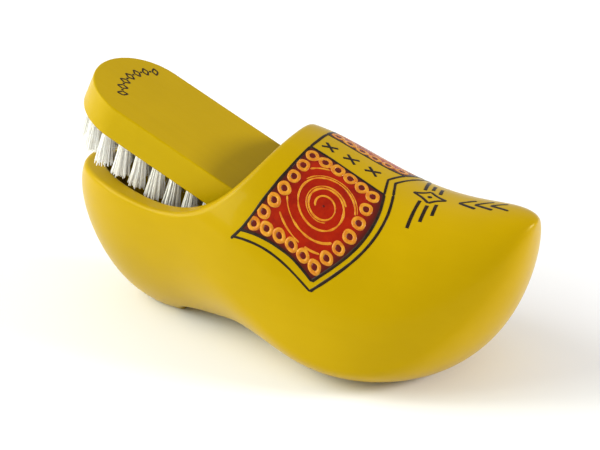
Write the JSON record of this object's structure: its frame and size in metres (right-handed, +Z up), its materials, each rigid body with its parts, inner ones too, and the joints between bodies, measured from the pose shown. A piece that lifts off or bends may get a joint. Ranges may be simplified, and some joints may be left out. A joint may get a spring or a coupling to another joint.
{
  "type": "clog brush set",
  "caption": "Hollow wooden clog with an upturned toe, holding a long clothes brush with a round-ended wooden block that slides out of its opening.",
  "frame": {"origin": "under the middle of the whole object, on the surface it stands on", "axes": "+X towards the toe, +Z up"},
  "size_m": [0.2, 0.0916, 0.0984],
  "materials": {
    "clog_lacquer": "gloss yellow lacquer on wood, with a painted red and black decoration",
    "block_lacquer": "satin yellow lacquer on wood",
    "bristle": "white nylon filament",
    "decoration": "gloss red, orange and black paint"
  },
  "bodies": {
    "clog": {"clog_body": "clog_lacquer"},
    "brush": {"brush_block": "block_lacquer", "tuft_ring_01": "bristle", "tuft_ring_02": "bristle", "tuft_ring_03": "bristle", "tuft_ring_04": "bristle", "tuft_ring_05": "bristle", "tuft_ring_06": "bristle", "tuft_ring_07": "bristle", "tuft_ring_08": "bristle", "tuft_ring_09": "bristle", "tuft_ring_10": "bristle", "tuft_ring_11": "bristle", "tuft_ring_12": "bristle", "tuft_ring_13": "bristle", "tuft_ring_14": "bristle", "tuft_ring_15": "bristle", "tuft_ring_16": "bristle", "tuft_ring_17": "bristle", "tuft_ring_18": "bristle", "tuft_ring_19": "bristle", "tuft_ring_20": "bristle", "tuft_ring_21": "bristle", "tuft_ring_22": "bristle", "tuft_ring_23": "bristle", "tuft_ring_24": "bristle", "tuft_ring_25": "bristle", "tuft_ring_26": "bristle", "tuft_ring_27": "bristle", "tuft_ring_28": "bristle", "tuft_ring_29": "bristle", "tuft_ring_30": "bristle", "tuft_ring_31": "bristle", "tuft_ring_32": "bristle", "tuft_ring_33": "bristle", "tuft_ring_34": "bristle", "tuft_ring_35": "bristle", "tuft_ring_36": "bristle", "tuft_left_01": "bristle", "tuft_left_02": "bristle", "tuft_left_03": "bristle", "tuft_left_04": "bristle", "tuft_left_05": "bristle", "tuft_left_06": "bristle", "tuft_left_07": "bristle", "tuft_left_08": "bristle", "tuft_left_09": "bristle", "tuft_left_10": "bristle", "tuft_left_11": "bristle", "tuft_right_01": "bristle", "tuft_right_02": "bristle", "tuft_right_03": "bristle", "tuft_right_04": "bristle", "tuft_right_05": "bristle", "tuft_right_06": "bristle", "tuft_right_07": "bristle", "tuft_right_08": "bristle", "tuft_right_09": "bristle", "tuft_right_10": "bristle", "tuft_right_11": "bristle"}
  },
  "joints": [
    {"name": "brush_pull", "type": "slide", "parent": "clog", "child": "brush", "axis": [-0.9135, 0, 0.4067], "range_m": [0, 0.15]}
  ]
}
